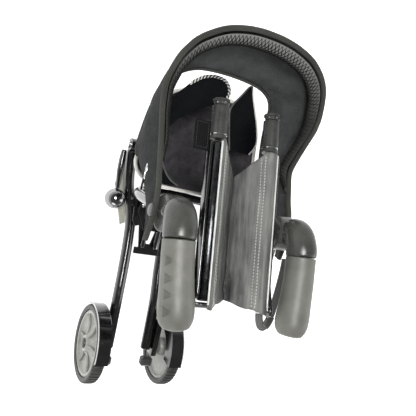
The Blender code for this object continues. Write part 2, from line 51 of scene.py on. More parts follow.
class Shader:
    """A Principled material whose inputs are wired up by name."""

    def __init__(self, name, **plain):
        self.mat = bpy.data.materials.new(name)
        self.mat.use_nodes = True
        self.tree = self.mat.node_tree
        self.bsdf = self.tree.nodes["Principled BSDF"]
        for key, value in plain.items():
            socket = self.bsdf.inputs[key.replace("_", " ")]
            socket.default_value = (*value, 1.0) if isinstance(value, tuple) else value
        self.coords = self.tree.nodes.new("ShaderNodeTexCoord")

    def node(self, kind, links=(), **values):
        made = self.tree.nodes.new("ShaderNode" + kind)
        for key, value in values.items():
            if hasattr(made, key):
                setattr(made, key, value)
            else:
                made.inputs[key.replace("_", " ")].default_value = value
        for key, source in dict(links).items():
            self.tree.links.new(source, made.inputs[key])
        return made

    def math(self, operation, a, b=0.0):
        made = self.tree.nodes.new("ShaderNodeMath")
        made.operation = operation
        for i, value in enumerate((a, b)):
            if isinstance(value, (int, float)):
                made.inputs[i].default_value = value
            else:
                self.tree.links.new(value, made.inputs[i])
        return made.outputs[0]

    def noise(self, scale, detail=3.0, roughness=0.55, stretch=None):
        vector = self.coords.outputs["Object"]
        if stretch:
            vector = self.node("Mapping", {"Vector": vector}, Scale=stretch).outputs[0]
        return self.node("TexNoise", {"Vector": vector}, Scale=scale, Detail=detail,
            Roughness=roughness).outputs["Fac"]

    def weave(self, pitch):
        """Crossing threads, a pitch apart in UV metres."""
        uv = self.node("SeparateXYZ", {"Vector": self.coords.outputs["UV"]})
        across, along = (self.math("SINE", self.math("MULTIPLY", uv.outputs[i], math.tau / pitch))
            for i in (0, 1))
        return self.math("MULTIPLY", across, along)

    def spread(self, source, low, high, start=0.3, end=0.7):
        """Maps start..end of a source onto low..high, clamped."""
        return self.node("MapRange", {"Value": source}, From_Min=start, From_Max=end, To_Min=low,
            To_Max=high).outputs[0]

    def colour(self, source, dark, light, start=0.3, end=0.7):
        ramp = self.node("ValToRGB", {"Fac": source})
        ramp.color_ramp.elements[0].position = start
        ramp.color_ramp.elements[0].color = (*milli(dark), 1)
        ramp.color_ramp.elements[1].position = end
        ramp.color_ramp.elements[1].color = (*milli(light), 1)
        return ramp.outputs[0]

    def use(self, name, source):
        self.tree.links.new(source, self.bsdf.inputs[name])
        return self

    def bump(self, height, strength, distance, under=None):
        links = {"Height": height}
        if under is not None:
            links["Normal"] = under
        made = self.node("Bump", links, Strength=strength, Distance=distance)
        self.tree.links.new(made.outputs[0], self.bsdf.inputs["Normal"])
        return made.outputs[0]


def cloth(name, dark, light, pitch=0.0011, rough=0.85, sheen=0.25, depth=0.00018, patches=22.0,
        level=0.28):
    """Plain woven cloth: crossing threads in UV metres, heathered colour and soft creasing."""
    s = Shader(name, Roughness=rough, Sheen_Weight=sheen, Sheen_Roughness=0.5,
        Specular_IOR_Level=level)
    weave = s.weave(pitch)
    heather = s.math("ADD", s.math("MULTIPLY", s.noise(1400.0, 2.0), 0.55),
        s.math("MULTIPLY", s.noise(patches, 4.0), 0.45))
    s.use("Base Color", s.colour(heather, dark, light, 0.36, 0.64))
    s.use("Roughness", s.spread(s.noise(260.0), rough - 0.1, min(1.0, rough + 0.08)))
    creases = s.bump(s.noise(38.0, 5.0), 0.35, 0.0012)
    s.bump(weave, 0.6, depth, creases)
    return s.mat


def moulded(name, dark, light, rough=0.45, grain=900.0, depth=0.00008, coat=0.0, level=0.5):
    """Moulded plastic or rubber with a fine grain and slight handling marks."""
    s = Shader(name, Roughness=rough, Coat_Weight=coat, Coat_Roughness=0.12,
        Specular_IOR_Level=level)
    s.use("Base Color", s.colour(s.noise(30.0, 5.0, 0.65), dark, light))
    s.use("Roughness", s.spread(s.noise(75.0, 6.0, 0.7), max(0.05, rough - 0.09), rough + 0.09))
    s.bump(s.noise(grain, 2.0), 0.5, depth)
    return s.mat


def enamel(name, dark, light, rough=0.16, metallic=0.0, coat=0.6, ior=1.5):
    """Gloss paint with a faint orange-peel and dulled, rubbed patches."""
    s = Shader(name, Metallic=metallic, Roughness=rough, Coat_Weight=coat, Coat_Roughness=0.05,
        IOR=ior)
    s.use("Base Color", s.colour(s.noise(40.0, 6.0, 0.7), dark, light, 0.42, 0.72))
    s.use("Roughness", s.spread(s.noise(110.0, 7.0, 0.72), rough * 0.6, rough * 1.9, 0.4, 0.75))
    s.bump(s.noise(210.0, 2.0), 0.12, 0.0003)
    return s.mat


def metal(name, dark, light, rough=0.22, stretch=(900.0, 60.0, 900.0)):
    """Plated or brushed metal, with fine drawing lines along its length."""
    s = Shader(name, Metallic=1.0, Roughness=rough)
    lines = s.noise(1.0, 4.0, 0.6, stretch)
    s.use("Base Color", s.colour(lines, dark, light))
    s.use("Roughness", s.spread(s.noise(140.0, 5.0), rough * 0.7, rough * 1.5))
    s.bump(lines, 0.2, 0.00004)
    return s.mat


def webbing(name, dark, light, pitch=0.0024, rough=0.7, level=0.3):
    """Ribbed woven tape: raised cords along V with crossing picks."""
    s = Shader(name, Roughness=rough, Sheen_Weight=0.05, Specular_IOR_Level=level)
    uv = s.node("SeparateXYZ", {"Vector": s.coords.outputs["UV"]})
    ribs = s.math("SINE", s.math("MULTIPLY", uv.outputs[0], math.tau / pitch))
    picks = s.math("SINE", s.math("MULTIPLY", uv.outputs[1], math.tau / (pitch * 0.45)))
    height = s.math("ADD", ribs, s.math("MULTIPLY", picks, 0.45))
    s.use("Base Color", s.colour(s.spread(height, 0.0, 1.0, -1.4, 1.4), dark, light, 0.2, 0.8))
    s.bump(height, 0.7, 0.00025)
    return s.mat


M = {
    "black": enamel("gloss_black_paint", (2.2, 2.2, 2.5), (8.5, 8.5, 9.2), 0.17, coat=0.5, ior=1.8),
    "satin_black": moulded("satin_black_plastic", (30, 30, 29), (66, 66, 63), 0.3),
    "tube": metal("dark_satin_tube", (35, 36, 38), (85, 88, 92), 0.22),
    "bright": metal("bright_plating", (620, 620, 620), (860, 860, 850), 0.14),
    # pale rod colour: a painted highlight line along the cover edges and the mudguard edges
    "edge": moulded("painted_highlight_rod", (520, 520, 510), (720, 720, 700), 0.22, 300.0, 0.00002),
    "grip": moulded("grip_foam", (105, 106, 91), (160, 161, 141), 0.46, 1500.0, 0.00022),
    "pad": moulded("grip_pad_rubber", (70, 71, 60), (110, 111, 96), 0.42, 1200.0),
    "shell": moulded("shell_plastic", (36, 37, 33), (66, 67, 60), 0.28, 800.0),
    # the hood's two faces are one cloth: the inner face is painted about three times lighter than
    # the outer face, as painted light
    "hood": cloth("hood_cloth", (12, 12.5, 13), (40, 41, 41), sheen=0.0, patches=30.0, level=0.18),
    "hood_inside_painted_light": cloth("hood_inner_cloth_painted_light", (30, 31, 32), (100, 102, 103), sheen=0.0,
        patches=34.0, level=0.2),
    "net": moulded("mesh_yarn", (8, 8, 7.5), (20, 20, 18), 0.7, 1500.0, level=0.2),
    "binding": cloth("edge_binding", (30, 31, 27), (58, 59, 51), 0.0009, sheen=0.06),
    "tape": cloth("grey_tape", (75, 75, 70), (130, 130, 122), 0.0009, sheen=0.04),
    "lining": cloth("cabin_lining", (38, 35, 41), (125, 117, 128), 0.001, 0.8, 0.12, 0.0003, 90.0),
    "shell_cloth": cloth("cabin_outer_cloth", (8, 8, 8), (22, 22, 22), sheen=0.04),
    "flap": cloth("flap_cloth", (1.2, 1.8, 2.6), (4.5, 5.8, 7.5), 0.0009, 0.75, 0.0, level=0.1),
    "thread": moulded("stitch_thread", (420, 420, 390), (600, 600, 570), 0.5, 1500.0),
    "dark_thread": moulded("dark_thread", (30, 30, 30), (60, 60, 55), 0.7, 1500.0),
    "web": webbing("black_webbing", (1.5, 1.6, 1.8), (8.5, 8.8, 9.2), level=0.12),
    "grey_web": webbing("grey_webbing", (90, 90, 85), (190, 190, 180)),
    "piping": cloth("white_piping", (620, 610, 560), (820, 810, 770), 0.0008, 0.6, 0.05),
    "tyre": moulded("tyre_rubber", (10, 10, 9), (30, 30, 27), 0.46, 700.0, 0.0002),
    "wheel": moulded("wheel_plastic", (190, 190, 173), (370, 370, 340), 0.3, 600.0),
    "ball": enamel("knob_gloss", (4, 4, 4), (10, 10, 10), 0.04, coat=0.3, ior=3.2),
    "cream": moulded("pale_plastic", (500, 500, 420), (660, 660, 570), 0.3, 500.0),
    "zip_white": moulded("zip_teeth_pale", (500, 500, 470), (680, 680, 650), 0.4),
    "zip_black": moulded("zip_teeth_dark", (5, 5, 5), (12, 12, 12), 0.4),
}


def satin_cover():
    """Coated satin cloth with painted light and shade: lighter across the flat faces beside the
    seams, painted shade down in the fold and over each tube's wrap, with random streaks and
    blotches.
    """
    s = Shader("panel_cloth", Roughness=0.36, Specular_IOR_Level=0.55, Sheen_Weight=0.04)
    place = s.node("SeparateXYZ", {"Vector": s.coords.outputs["Object"]})
    out = s.math("ABSOLUTE", place.outputs[0])
    # painted light and shade across the cover: lightest 27 to 30 mm out from the fold, darker
    # towards the fold and over the tubes
    painted_fold_light = s.math("SUBTRACT", s.spread(out, 0.0, 1.0, 0.001, 0.027),
        s.spread(out, 0.0, 0.55, 0.03, 0.044))
    streaks = s.noise(1.0, 5.0, 0.6, (240.0, 14.0, 14.0))
    blotch = s.noise(1.0, 4.0, 0.6, (60.0, 30.0, 30.0))
    shade = s.math("ADD", s.math("MULTIPLY", painted_fold_light, 0.6),
        s.math("ADD", s.spread(streaks, -0.22, 0.34, 0.32, 0.68), s.spread(blotch, -0.1, 0.12)))
    s.use("Base Color", s.colour(shade, (9, 9.5, 9), (215, 218, 203), 0.02, 0.98))
    s.use("Roughness", s.spread(s.noise(120.0, 5.0), 0.28, 0.5))
    weave = s.weave(0.0009)
    creases = s.bump(s.noise(1.0, 6.0, 0.6, (110.0, 34.0, 34.0)), 0.5, 0.0022)
    s.bump(weave, 0.5, 0.00012, creases)
    return s.mat


M["panel"] = satin_cover()
backing = Shader("mesh_backing", Roughness=0.85, Specular_IOR_Level=0.25)
height = backing.node("SeparateXYZ", {"Vector": backing.coords.outputs["Object"]}).outputs[1]
# painted light: the backing turns lighter towards the hood's closed end (y 190 to 262 mm), standing
# in for light showing through the mesh
lift = backing.math("ADD", backing.spread(height, 0.0, 1.0, 0.19, 0.262),
    backing.math("MULTIPLY", backing.noise(60.0), 0.12))
backing.use("Base Color", backing.colour(lift, (38, 39, 37), (185, 186, 180), 0.05, 1.0))
backing.bump(backing.noise(900.0), 0.4, 0.0002)
M["backing"] = backing.mat

# ---- mesh helpers


def mm(*points):
    """Points given in millimetres, in metres; a 4th number is a scale and stays."""
    return [(*milli(p[:3]), *p[3:]) for p in points]


def smooth_path(points, per):
    """Catmull-Rom points through control tuples of any length."""
    out = []
    last = len(points) - 1
    for i in range(last):
        p0, p1 = points[max(i - 1, 0)], points[i]
        p2, p3 = points[i + 1], points[min(i + 2, last)]
        for k in range(per):
            t = k / per
            out.append(tuple(0.5 * (2 * b + (c - a) * t + (2 * a - 5 * b + 4 * c - d) * t * t
                + (3 * b - a - 3 * c + d) * t ** 3) for a, b, c, d in zip(p0, p1, p2, p3)))
    out.append(tuple(points[-1]))
    return out


def resample(points, count):
    """Points spaced evenly by length along a path."""
    pts = [Vector(p) for p in points]
    run = [0.0]
    for a, b in zip(pts, pts[1:]):
        run.append(run[-1] + (b - a).length)
    out, j = [], 0
    for i in range(count):
        want = run[-1] * i / (count - 1)
        while j < len(run) - 2 and run[j + 1] < want:
            j += 1
        step = run[j + 1] - run[j]
        out.append(pts[j].lerp(pts[j + 1], (want - run[j]) / step if step else 0.0))
    return out


def both_sides(half):
    return [(-p[0], *p[1:]) for p in half][:-1] + [tuple(p) for p in reversed(half)]


def mirrored(points, side):
    return [(side * p[0], *p[1:]) for p in points]


def place(obj, body, mat, replaces=(), slot=None):
    """Gives a finished object its material, body and the nodes it stands for; slot is not used."""
    mats = [mat] if isinstance(mat, str) else mat
    obj.data.materials.clear()
    for m in mats:
        obj.data.materials.append(M[m])
    if obj.type == "MESH":
        obj.data.shade_smooth()
    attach(obj, body)
    if replaces:
        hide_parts(*([replaces] if isinstance(replaces, str) else replaces))
    return obj


def link(name, data):
    """A new object in the scene for a mesh, light or camera."""
    obj = bpy.data.objects.new(name, data)
    bpy.context.scene.collection.objects.link(obj)
    return obj


def from_bmesh(name, bm):
    mesh = bpy.data.meshes.new(name)
    bm.to_mesh(mesh)
    bm.free()
    return link(name, mesh)


def bridge(a, b, wide, ring=True):
    """Quads between two rows of vertices that start at numbers a and b."""
    return [(a + k, a + (k + 1) % wide, b + (k + 1) % wide,
        b + k) for k in range(wide if ring else wide - 1)]


def add(name, verts, faces, uvs=None, sharp=None):
    mesh = bpy.data.meshes.new(name)
    mesh.from_pydata([tuple(v) for v in verts], [], faces)
    if uvs:
        layer = mesh.uv_layers.new(name="UVMap")
        for loop in mesh.loops:
            layer.data[loop.index].uv = uvs[loop.vertex_index]
    bm = bmesh.new()
    bm.from_mesh(mesh)
    bmesh.ops.recalc_face_normals(bm, faces=bm.faces)
    if bm.calc_volume(signed=True) < 0:
        bmesh.ops.reverse_faces(bm, faces=bm.faces)
    bm.to_mesh(mesh)
    bm.free()
    obj = link(name, mesh)
    mesh.shade_smooth()
    if sharp:
        mesh.set_sharp_from_angle(angle=math.radians(sharp))
    return obj


def modify(obj, kind, **values):
    mod = obj.modifiers.new(kind.title(), kind)
    for key, value in values.items():
        setattr(mod, key, value)
    return mod


def apply_all(obj):
    """Turns an object's modifiers into plain mesh."""
    graph = bpy.context.evaluated_depsgraph_get()
    mesh = bpy.data.meshes.new_from_object(obj.evaluated_get(graph))
    obj.modifiers.clear()
    obj.data = mesh
    return obj


def tube(name, points, radius, segs=20, per=6, flat=1.0, closed=False, soft=(0.22, 0.22), tip=0.55):
    """A smooth round or oval tube with softened ends; a 4th number scales the radius."""
    path = smooth_path(points, per) if per else [tuple(p) for p in points]
    centres = [Vector(p[:3]) for p in path]
    scales = [p[3] if len(p) > 3 else 1.0 for p in path]
    count = len(centres)
    ways = []
    for i in range(count):
        if closed:
            ways.append((centres[(i + 1) % count] - centres[i - 1]).normalized())
        else:
            a, b = centres[max(i - 1, 0)], centres[min(i + 1, count - 1)]
            ways.append((b - a).normalized())
    side = ways[0].orthogonal().normalized()
    if abs(ways[0].x) < 0.9:
        side = (Vector((1, 0, 0)) - ways[0] * ways[0].x).normalized()
    verts, faces, uvs, rings, run = [], [], [], [], 0.0

    def ring(centre, radius_here, side, up, v):
        rings.append(len(verts))
        for k in range(segs):
            a = math.tau * k / segs
            verts.append(centre + side * (math.cos(a) * radius_here) + up
                * (math.sin(a) * radius_here * flat))
            uvs.append((radius_here * min(a, math.tau - a), v))

    for i in range(count):
        if i:
            turn = ways[i - 1].rotation_difference(ways[i])
            side = (turn @ side).normalized()
            run += (centres[i] - centres[i - 1]).length
        up = ways[i].cross(side)
        r = radius * scales[i]
        ends = [(1.0 - soft[i > 0] * k, soft[i > 0] * r * d) for k,
            d in (((1 - tip) / 0.22, 0.0), (0.64, 0.25), (0.0, 1.0))]
        if not closed and i == 0:
            for k, d in ends:
                ring(centres[i] + ways[i] * d, r * k, side, up, run)
        elif not closed and i == count - 1:
            for k, d in reversed(ends):
                ring(centres[i] - ways[i] * d, r * k, side, up, run)
        else:
            ring(centres[i], r, side, up, run)
    for a, b in zip(rings, rings[1:] + (rings[:1] if closed else [])):
        faces += bridge(a, b, segs)
    if not closed:
        faces.append(tuple(range(rings[0], rings[0] + segs)))
        faces.append(tuple(range(rings[-1], rings[-1] + segs)))
    return add(name, verts, faces, uvs)


def lathe(name, profile, centre, axis, steps=64, closed=False, sharp=32):
    """Turns (radius, height) pairs about axis; an open profile is capped at both ends."""
    axis = Vector(axis).normalized()
    side = axis.orthogonal().normalized()
    up = axis.cross(side)
    centre = Vector(centre)
    verts, faces, uvs, run = [], [], [], 0.0
    for i, (r, h) in enumerate(profile):
        if i:
            run += math.dist(profile[i - 1], (r, h))
        for k in range(steps):
            a = math.tau * k / steps
            verts.append(centre + axis * h + (side * math.cos(a) + up * math.sin(a)) * r)
            uvs.append((r * min(a, math.tau - a), run))
    count = len(profile)
    for i in range(count if closed else count - 1):
        faces += bridge(i * steps, ((i + 1) % count) * steps, steps)
    if not closed:
        faces.append(tuple(range(steps)))
        faces.append(tuple(range((count - 1) * steps, count * steps)))
    return add(name, verts, faces, uvs, sharp)


def sheet(name, rows, thickness, ring=False, offset=0.0, two_sided=False, cap=False):
    """A cloth surface through rows of points, with UVs in metres and a real thickness."""
    wide = len(rows[0])
    verts, uvs, faces = [], [], []
    down = 0.0
    for i, row in enumerate(rows):
        if i:
            down += sum((Vector(a) - Vector(b)).length for a, b in zip(row, rows[i - 1])) / wide
        across = 0.0
        for j, p in enumerate(row):
            if j:
                across += (Vector(p) - Vector(row[j - 1])).length
            verts.append(p)
            uvs.append((across, down))
    for i in range(len(rows) - 1):
        faces += bridge(i * wide, (i + 1) * wide, wide, ring)
    if cap:
        faces.append(tuple(range((len(rows) - 1) * wide, len(rows) * wide)))
    obj = add(name, verts, faces, uvs)
    modify(obj, "SOLIDIFY", thickness=thickness, offset=offset, use_even_offset=True,
        material_offset=1 if two_sided else 0)
    return obj


def stitches(name, points, length, gap, radius, body, mat="thread", slot="panel_cloth"):
    """A row of short raised stitches along a path of points."""
    path = [Vector(p) for p in points]
    run = sum((b - a).length for a, b in zip(path, path[1:]))
    count = max(2, int(run / (length + gap)))
    fine = resample(points, count * 6 + 1)
    verts, faces = [], []
    for i in range(count):
        piece = fine[i * 6:i * 6 + 5]
        way = (piece[-1] - piece[0]).normalized()
        side = way.orthogonal().normalized()
        up = way.cross(side)
        base = len(verts)
        for j, p in enumerate(piece):
            r = radius * (0.55, 0.95, 1.0, 0.95, 0.55)[j]
            for k in range(6):
                a = math.tau * k / 6
                verts.append(p + (side * math.cos(a) + up * math.sin(a)) * r)
        for a in range(base, base + 24, 6):
            faces += bridge(a, a + 6, 6)
        faces.append(tuple(range(base, base + 6)))
        faces.append(tuple(range(base + 24, base + 30)))
    return place(add(name, verts, faces), body, mat, slot=slot)


def slab(name, outline, low, high, across="z", edge=0.0006):
    """A flat outline with thickness and softly rounded edges, along z or along x."""
    bm = bmesh.new()
    uv = bm.loops.layers.uv.new("UVMap")
    turned = [(0.5 * (low + high), *p) if across == "x" else (*p,
        0.5 * (low + high)) for p in outline]
    half = abs(high - low) / 2
    way = Vector((1, 0, 0)) if across == "x" else Vector((0, 0, 1))
    lower = [bm.verts.new(Vector(p) - way * half) for p in turned]
    upper = [bm.verts.new(Vector(p) + way * half) for p in turned]
    count = len(outline)
    bm.faces.new(lower)
    bm.faces.new(upper)
    for i in range(count):
        n = (i + 1) % count
        bm.faces.new((lower[i], lower[n], upper[n], upper[i]))
    bmesh.ops.recalc_face_normals(bm, faces=bm.faces)
    for face in bm.faces:
        for loop in face.loops:
            co = loop.vert.co
            loop[uv].uv = (co.y, co.z) if across == "x" else (co.x, co.y)
    obj = from_bmesh(name, bm)
    modify(obj, "BEVEL", width=edge, segments=3, limit_method="ANGLE", angle_limit=math.radians(35))
    return obj


def capsule(p, q, radius, steps=14):
    p, q = Vector(p), Vector(q)
    lead = math.atan2(q.y - p.y, q.x - p.x)
    out = []
    for centre, start in ((q, lead - math.pi / 2), (p, lead + math.pi / 2)):
        for k in range(steps + 1):
            a = start + math.pi * k / steps
            out.append((centre.x + radius * math.cos(a), centre.y + radius * math.sin(a)))
    return out


def screw_head(name, at, out, radius, body):
    """A domed cross-head screw."""
    out = Vector(out).normalized()
    head = lathe(name, [(0.0004, 0.0009), (radius * 0.5, 0.0008), (radius * 0.86, 0.0005),
        (radius, 0.0), (radius * 0.96, -0.0002), (0.0004, -0.0003)], at, out, 28)
    head.data.materials.append(M["bright"])
    cross = out.orthogonal().normalized()
    for turn in (cross, out.cross(cross)):
        bm = bmesh.new()
        bmesh.ops.create_cube(bm, size=1.0)
        other = out.cross(turn)
        basis = Matrix((turn * radius * 1.1, other * radius * 0.26, out * 0.0011)).transposed()
        bm.transform(Matrix.Translation(Vector(at) + out * 0.0011) @ basis.to_4x4())
        cutter = from_bmesh(name + "_cut", bm)
        modify(head, "BOOLEAN", operation="DIFFERENCE", object=cutter, solver="EXACT")
        apply_all(head)
        bpy.data.objects.remove(cutter)
    return place(head, body, "bright")


# ---- main frame

ARM = mm((74.5, 39, 250), (74.5, 40, 200), (71, 42, 150), (56, 44, 117), (30, 45, 106),
    (0, 45, 105))
place(tube("seat_frame_tube", both_sides(ARM), 0.0069, 24, 8), "frame", "black", "seat_frame")
STAND = mm((6.5, 120.6, 38), (8, 130, 36), (18, 147, 22), (20, 156, 14), (12, 158, 12.5),
    (0, 158, 12.5))
place(tube("rest_bar_tube", both_sides(STAND), 0.0049, 20, 6), "frame", "black", "rest_bar")
FOLD_Y, FOLD_Z = 0.039, 0.28
PIVOT = Vector((0.0, -0.0507, 0.331))
TOP = Vector((0.0, 0.1833, 0.2611))


def dress(node, mat, bevel=0.0):
    """Keeps a CAD node, with its own material and eased edges."""
    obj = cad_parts[node]
    obj.data.materials.clear()
    obj.data.materials.append(M[mat])
    if bevel:
        modify(obj, "WELD", merge_threshold=0.00001)
        modify(obj, "BEVEL", width=bevel, segments=2, limit_method="ANGLE",
            angle_limit=math.radians(38))
    return obj


dress("spine", "black", 0.0008)
dress("rear_shaft", "bright")
dress("rest_pad", "satin_black")
for side, s in SIDES:
    place(slab("hub_casting_" + side, capsule((FOLD_Y, FOLD_Z), (0.04, 0.247), 0.0105), s * 0.0545,
        s * 0.064, "x", 0.0016), "frame", "black", "hub_block_" + side)
    place(slab("link_strip_" + side, capsule((FOLD_Y, FOLD_Z), (PIVOT.y, PIVOT.z), 0.0072),
        s * 0.0503, s * 0.0542, "x", 0.0009), "frame", "black", "link_bar_" + side)
    for node in ("hub_pin_", "front_pivot_pin_"):
        dress(node + side, "bright")

# ---- cabin

MOUTH_Z, FLOOR_Z, CABIN_Y = 0.163, 0.075, 0.122
MOUTH = mm((0, 58.5), (45, 59), (70, 62.5), (87, 72), (94, 86), (91.5, 100), (86.8, 115),
    (84, 135), (82, 150), (78, 168), (66, 185), (42, 196), (0, 199))
FLOOR = mm((0, 76.5), (26, 77), (40, 80), (48, 87), (51, 96), (52, 105), (52, 115), (51, 128),
    (49, 140), (46, 152), (39, 162), (24, 169), (0, 171))


def cabin_ring(t, shrink=0.0):
    half = []
    for m, f in zip(smooth_path(MOUTH, 5), smooth_path(FLOOR, 5)):
        k = t - 0.25 * math.sin(math.pi * t) * t
        half.append((m[0] + (f[0] - m[0]) * k, m[1] + (f[1] - m[1]) * k))
    ring = half + [(-x, y) for x, y in reversed(half[1:-1])]
    z = MOUTH_Z + (FLOOR_Z - MOUTH_Z) * t
    return [Vector((x * (1 - shrink), CABIN_Y + (y - CABIN_Y) * (1 - shrink), z)) for x, y in ring]


rows = [cabin_ring(k / 26) for k in range(26)]
rows += [cabin_ring(1.0, k / 10) for k in (0.15, 0.8, 2, 3.5, 5, 6.5, 8, 9.3)]
for i, row in enumerate(rows):
    for j, p in enumerate(row):
        inward = Vector((-p.x, CABIN_Y - p.y, 0.0))
        if inward.length < 0.008:
            continue
        depth = min(1.0, i / 6)
        fold = 0.5 + 0.5 * noise.noise(Vector((p.x * 26, p.y * 26, p.z * 9)))
        ripple = 0.5 + 0.5 * noise.noise(Vector((p.x * 70, p.y * 70, p.z * 22 + 5)))
        p += inward.normalized() * depth * (0.0034 * fold + 0.0011 * ripple)
        if i > 26:
            p.z += 0.0022 * fold
cabin = sheet("cabin_cloth", rows, 0.0012, ring=True, offset=-1.0, two_sided=True, cap=True)
place(cabin, "frame", ("shell_cloth", "lining"), "cabin")
lip = [(p.x * 0.99, CABIN_Y + (p.y - CABIN_Y) * 0.99, MOUTH_Z + 0.0034) for p in cabin_ring(0.0)]
place(tube("mouth_piping", lip[::2], 0.0024, 12, 0, closed=True), "frame", "piping", "cabin_piping")

# ---- zip flaps

FLAP_LEFT = mm((-72, 170), (-57, 187), (-43, 203.5), (-27, 216), (-10, 221.5), (6, 220.5),
    (14, 214), (17, 203.5), (11, 190), (-10, 180), (-33, 166.5), (-50, 152), (-63, 134.5),
    (-72, 140), (-76, 155))
FLAP_Z = 0.1716
FLAP_RIGHT = mm((52, 224), (57, 210), (66, 190), (74, 172), (80, 147), (72, 130), (38.6, 129.7),
    (29.3, 163.7), (25.5, 186.8), (38.4, 209), (47, 222))
place(slab("zip_flap_left", FLAP_LEFT, 0.1701, FLAP_Z, edge=0.0005), "frame", "flap", "flap_left")
place(slab("zip_flap_right", FLAP_RIGHT, 0.1701, FLAP_Z, edge=0.0005), "frame", "flap",
    "flap_right")


def zip_teeth(name, points, body):
    """Interlocked teeth, dark and pale by turns, along a zip's edge."""
    fine = resample(points, 35)
    for shade, start in (("zip_white", 0), ("zip_black", 1)):
        verts, faces = [], []
        for i in range(start, len(fine) - 1, 2):
            a, b = fine[i], fine[i + 1]
            way = (b - a).normalized()
            side = Vector((0, 0, 1)).cross(way)
            slant = (side + way * 0.9).normalized()
            base = len(verts)
            mid = (a + b) / 2
            for p in (-1, 1):
                for q in (-1, 1):
                    for r in (-1, 1):
                        verts.append(mid + slant * 0.0027 * p + way * 0.00125 * q + Vector((0, 0,
                            0.0013)) * r)
            for quad in ((0, 1, 3, 2), (4, 6, 7, 5), (0, 4, 5, 1), (2, 3, 7, 6), (0, 2, 6, 4),
                    (1, 5, 7, 3)):
                faces.append(tuple(base + q for q in quad))
        obj = add(name + "_" + shade[4:], verts, faces)
        modify(obj, "BEVEL", width=0.0003, segments=2)
        place(obj, body, shade)


zip_teeth("flap_zip", [(x, y, 0.1728) for x, y in smooth_path(FLAP_LEFT[2:9], 6)], "frame")
place(tube("flap_piping", [(x, y, FLAP_Z) for x, y in FLAP_RIGHT[:6]], 0.0011, 10, 6), "frame",
    "piping")

grey_edge = [(x, y, FLAP_Z) for x, y in FLAP_RIGHT[-5:] + FLAP_RIGHT[:1]]
place(tube("flap_edge_tape", grey_edge, 0.0012, 10, 6), "frame", "tape")
CORNER = mm((-58.5, 108), (-55.5, 95), (-50, 85), (-43.5, 76.6), (-35, 69.5), (-24, 64.5),
    (-45, 63.2), (-64, 66.8), (-78, 76), (-84.5, 88), (-82.5, 100), (-78, 108))
corner = slab("mouth_corner_flap", CORNER, 0.1625, 0.1637, edge=0.0004)
place(corner, "frame", "flap")
edge = [(x, y, 0.164) for x, y in CORNER[:6]]
place(tube("mouth_corner_binding", edge, 0.0013, 10, 6), "frame", "tape")

# ---- hood

RIM = mm((97, 2, 268), (96.6, 20, 272), (96.3, 39, 274.5), (95.8, 55, 271), (95.1, 67.5, 267),
    (94.8, 77.5, 262), (95.2, 97.5, 254), (96, 117.5, 247), (100.5, 137.5, 248.5),
    (105.9, 157.5, 252), (110, 177.5, 257.7), (110.6, 187.5, 260), (109.5, 197.5, 263),
    (104.8, 215, 267.7), (98.5, 227.5, 272.7), (90.5, 238.5, 276.2), (77.4, 249, 280.2),
    (60.7, 258.6, 282.5), (38.7, 265.5, 283.2), (18, 268.9, 283.2), (0, 269.6, 283))
BACK = mm((96.2, 4, 257), (96.2, 30, 250), (96.8, 55, 232), (98.5, 80, 205), (98.5, 100, 176.5),
    (96.5, 113.5, 170), (94.5, 126.5, 168), (91.5, 148.5, 168), (88, 170.5, 171), (84, 187.5, 178),
    (77, 201, 188), (66, 212, 195), (50, 219.5, 198), (30, 223, 199), (0, 224.5, 199))
COLUMNS = 241
MESH_DEEP = 0.024
HOOD_Y = 0.12
rim = resample(smooth_path(both_sides(RIM), 8), COLUMNS)
back = resample(smooth_path(both_sides(BACK), 8), COLUMNS)


def hood_point(u, d):
    """A point on the hood, u columns along and d metres behind the rim's centre line."""
    i = min(int(u), COLUMNS - 2)
    a = rim[i].lerp(rim[i + 1], u - i)
    b = back[i].lerp(back[i + 1], u - i)
    span = (b - a).length
    t = d / span
    out = Vector((a.x, a.y - HOOD_Y if a.y > HOOD_Y else 0.0, 0.0)).normalized()
    swell = 0.0035 * math.sin(math.pi * min(1.0, t)) * min(1.0, span / 0.06) ** 2
    return a.lerp(b, t) + out * swell


def hood_span(u):
    i = min(int(u), COLUMNS - 2)
    return (back[i] - rim[i]).length


MESH_FROM, MESH_TO = 30, COLUMNS - 31
place(tube("hood_rim", [tuple(p) for p in rim[::2]], 0.0034, 16, 0), "hood", "binding", "rim_bow")
place(tube("hood_inner_edge", [tuple(p) for p in back[44:-44:2]], 0.002, 12, 0), "hood", "binding",
    "inner_bow")


def mesh_depth(u):
    """How deep the open mesh runs behind the rim at column u."""
    ramp = min(1.0, max(0.0, (u - MESH_FROM) / 14), max(0.0, (MESH_TO - u) / 14))
    return MESH_DEEP * ramp


rows = []
ROWS = 30
for r in range(ROWS + 1):
    row = []
    for u in range(COLUMNS):
        start = 0.0038
        end = hood_span(u) - 0.0026
        d = start + (max(end, start + 0.002) - start) * r / ROWS
        p = hood_point(u, d)
        w = math.sin(math.pi * r / ROWS)
        p += (p - Vector((0, HOOD_Y, p.z))).normalized() * w * 0.0016 * noise.noise(Vector((p.x
            * 32, p.y * 32, p.z * 40)))
        row.append(p)
    rows.append(row)
place(sheet("hood_cloth", rows, 0.0012, two_sided=True), "hood", ("hood", "hood_inside_painted_light"),
    "hood_fabric")

# open diamond mesh between the rim and the cloth
PITCH = 0.0056


def lined(u, d, depth):
    """A point on the hood's inside, depth metres in from its cloth."""
    p = hood_point(u, d)
    way = Vector((-p.x, min(0.0, HOOD_Y - p.y), 0.0))
    return p + way.normalized() * depth


length = sum((b - a).length for a, b in zip(rim[MESH_FROM:MESH_TO], rim[MESH_FROM + 1:MESH_TO]))


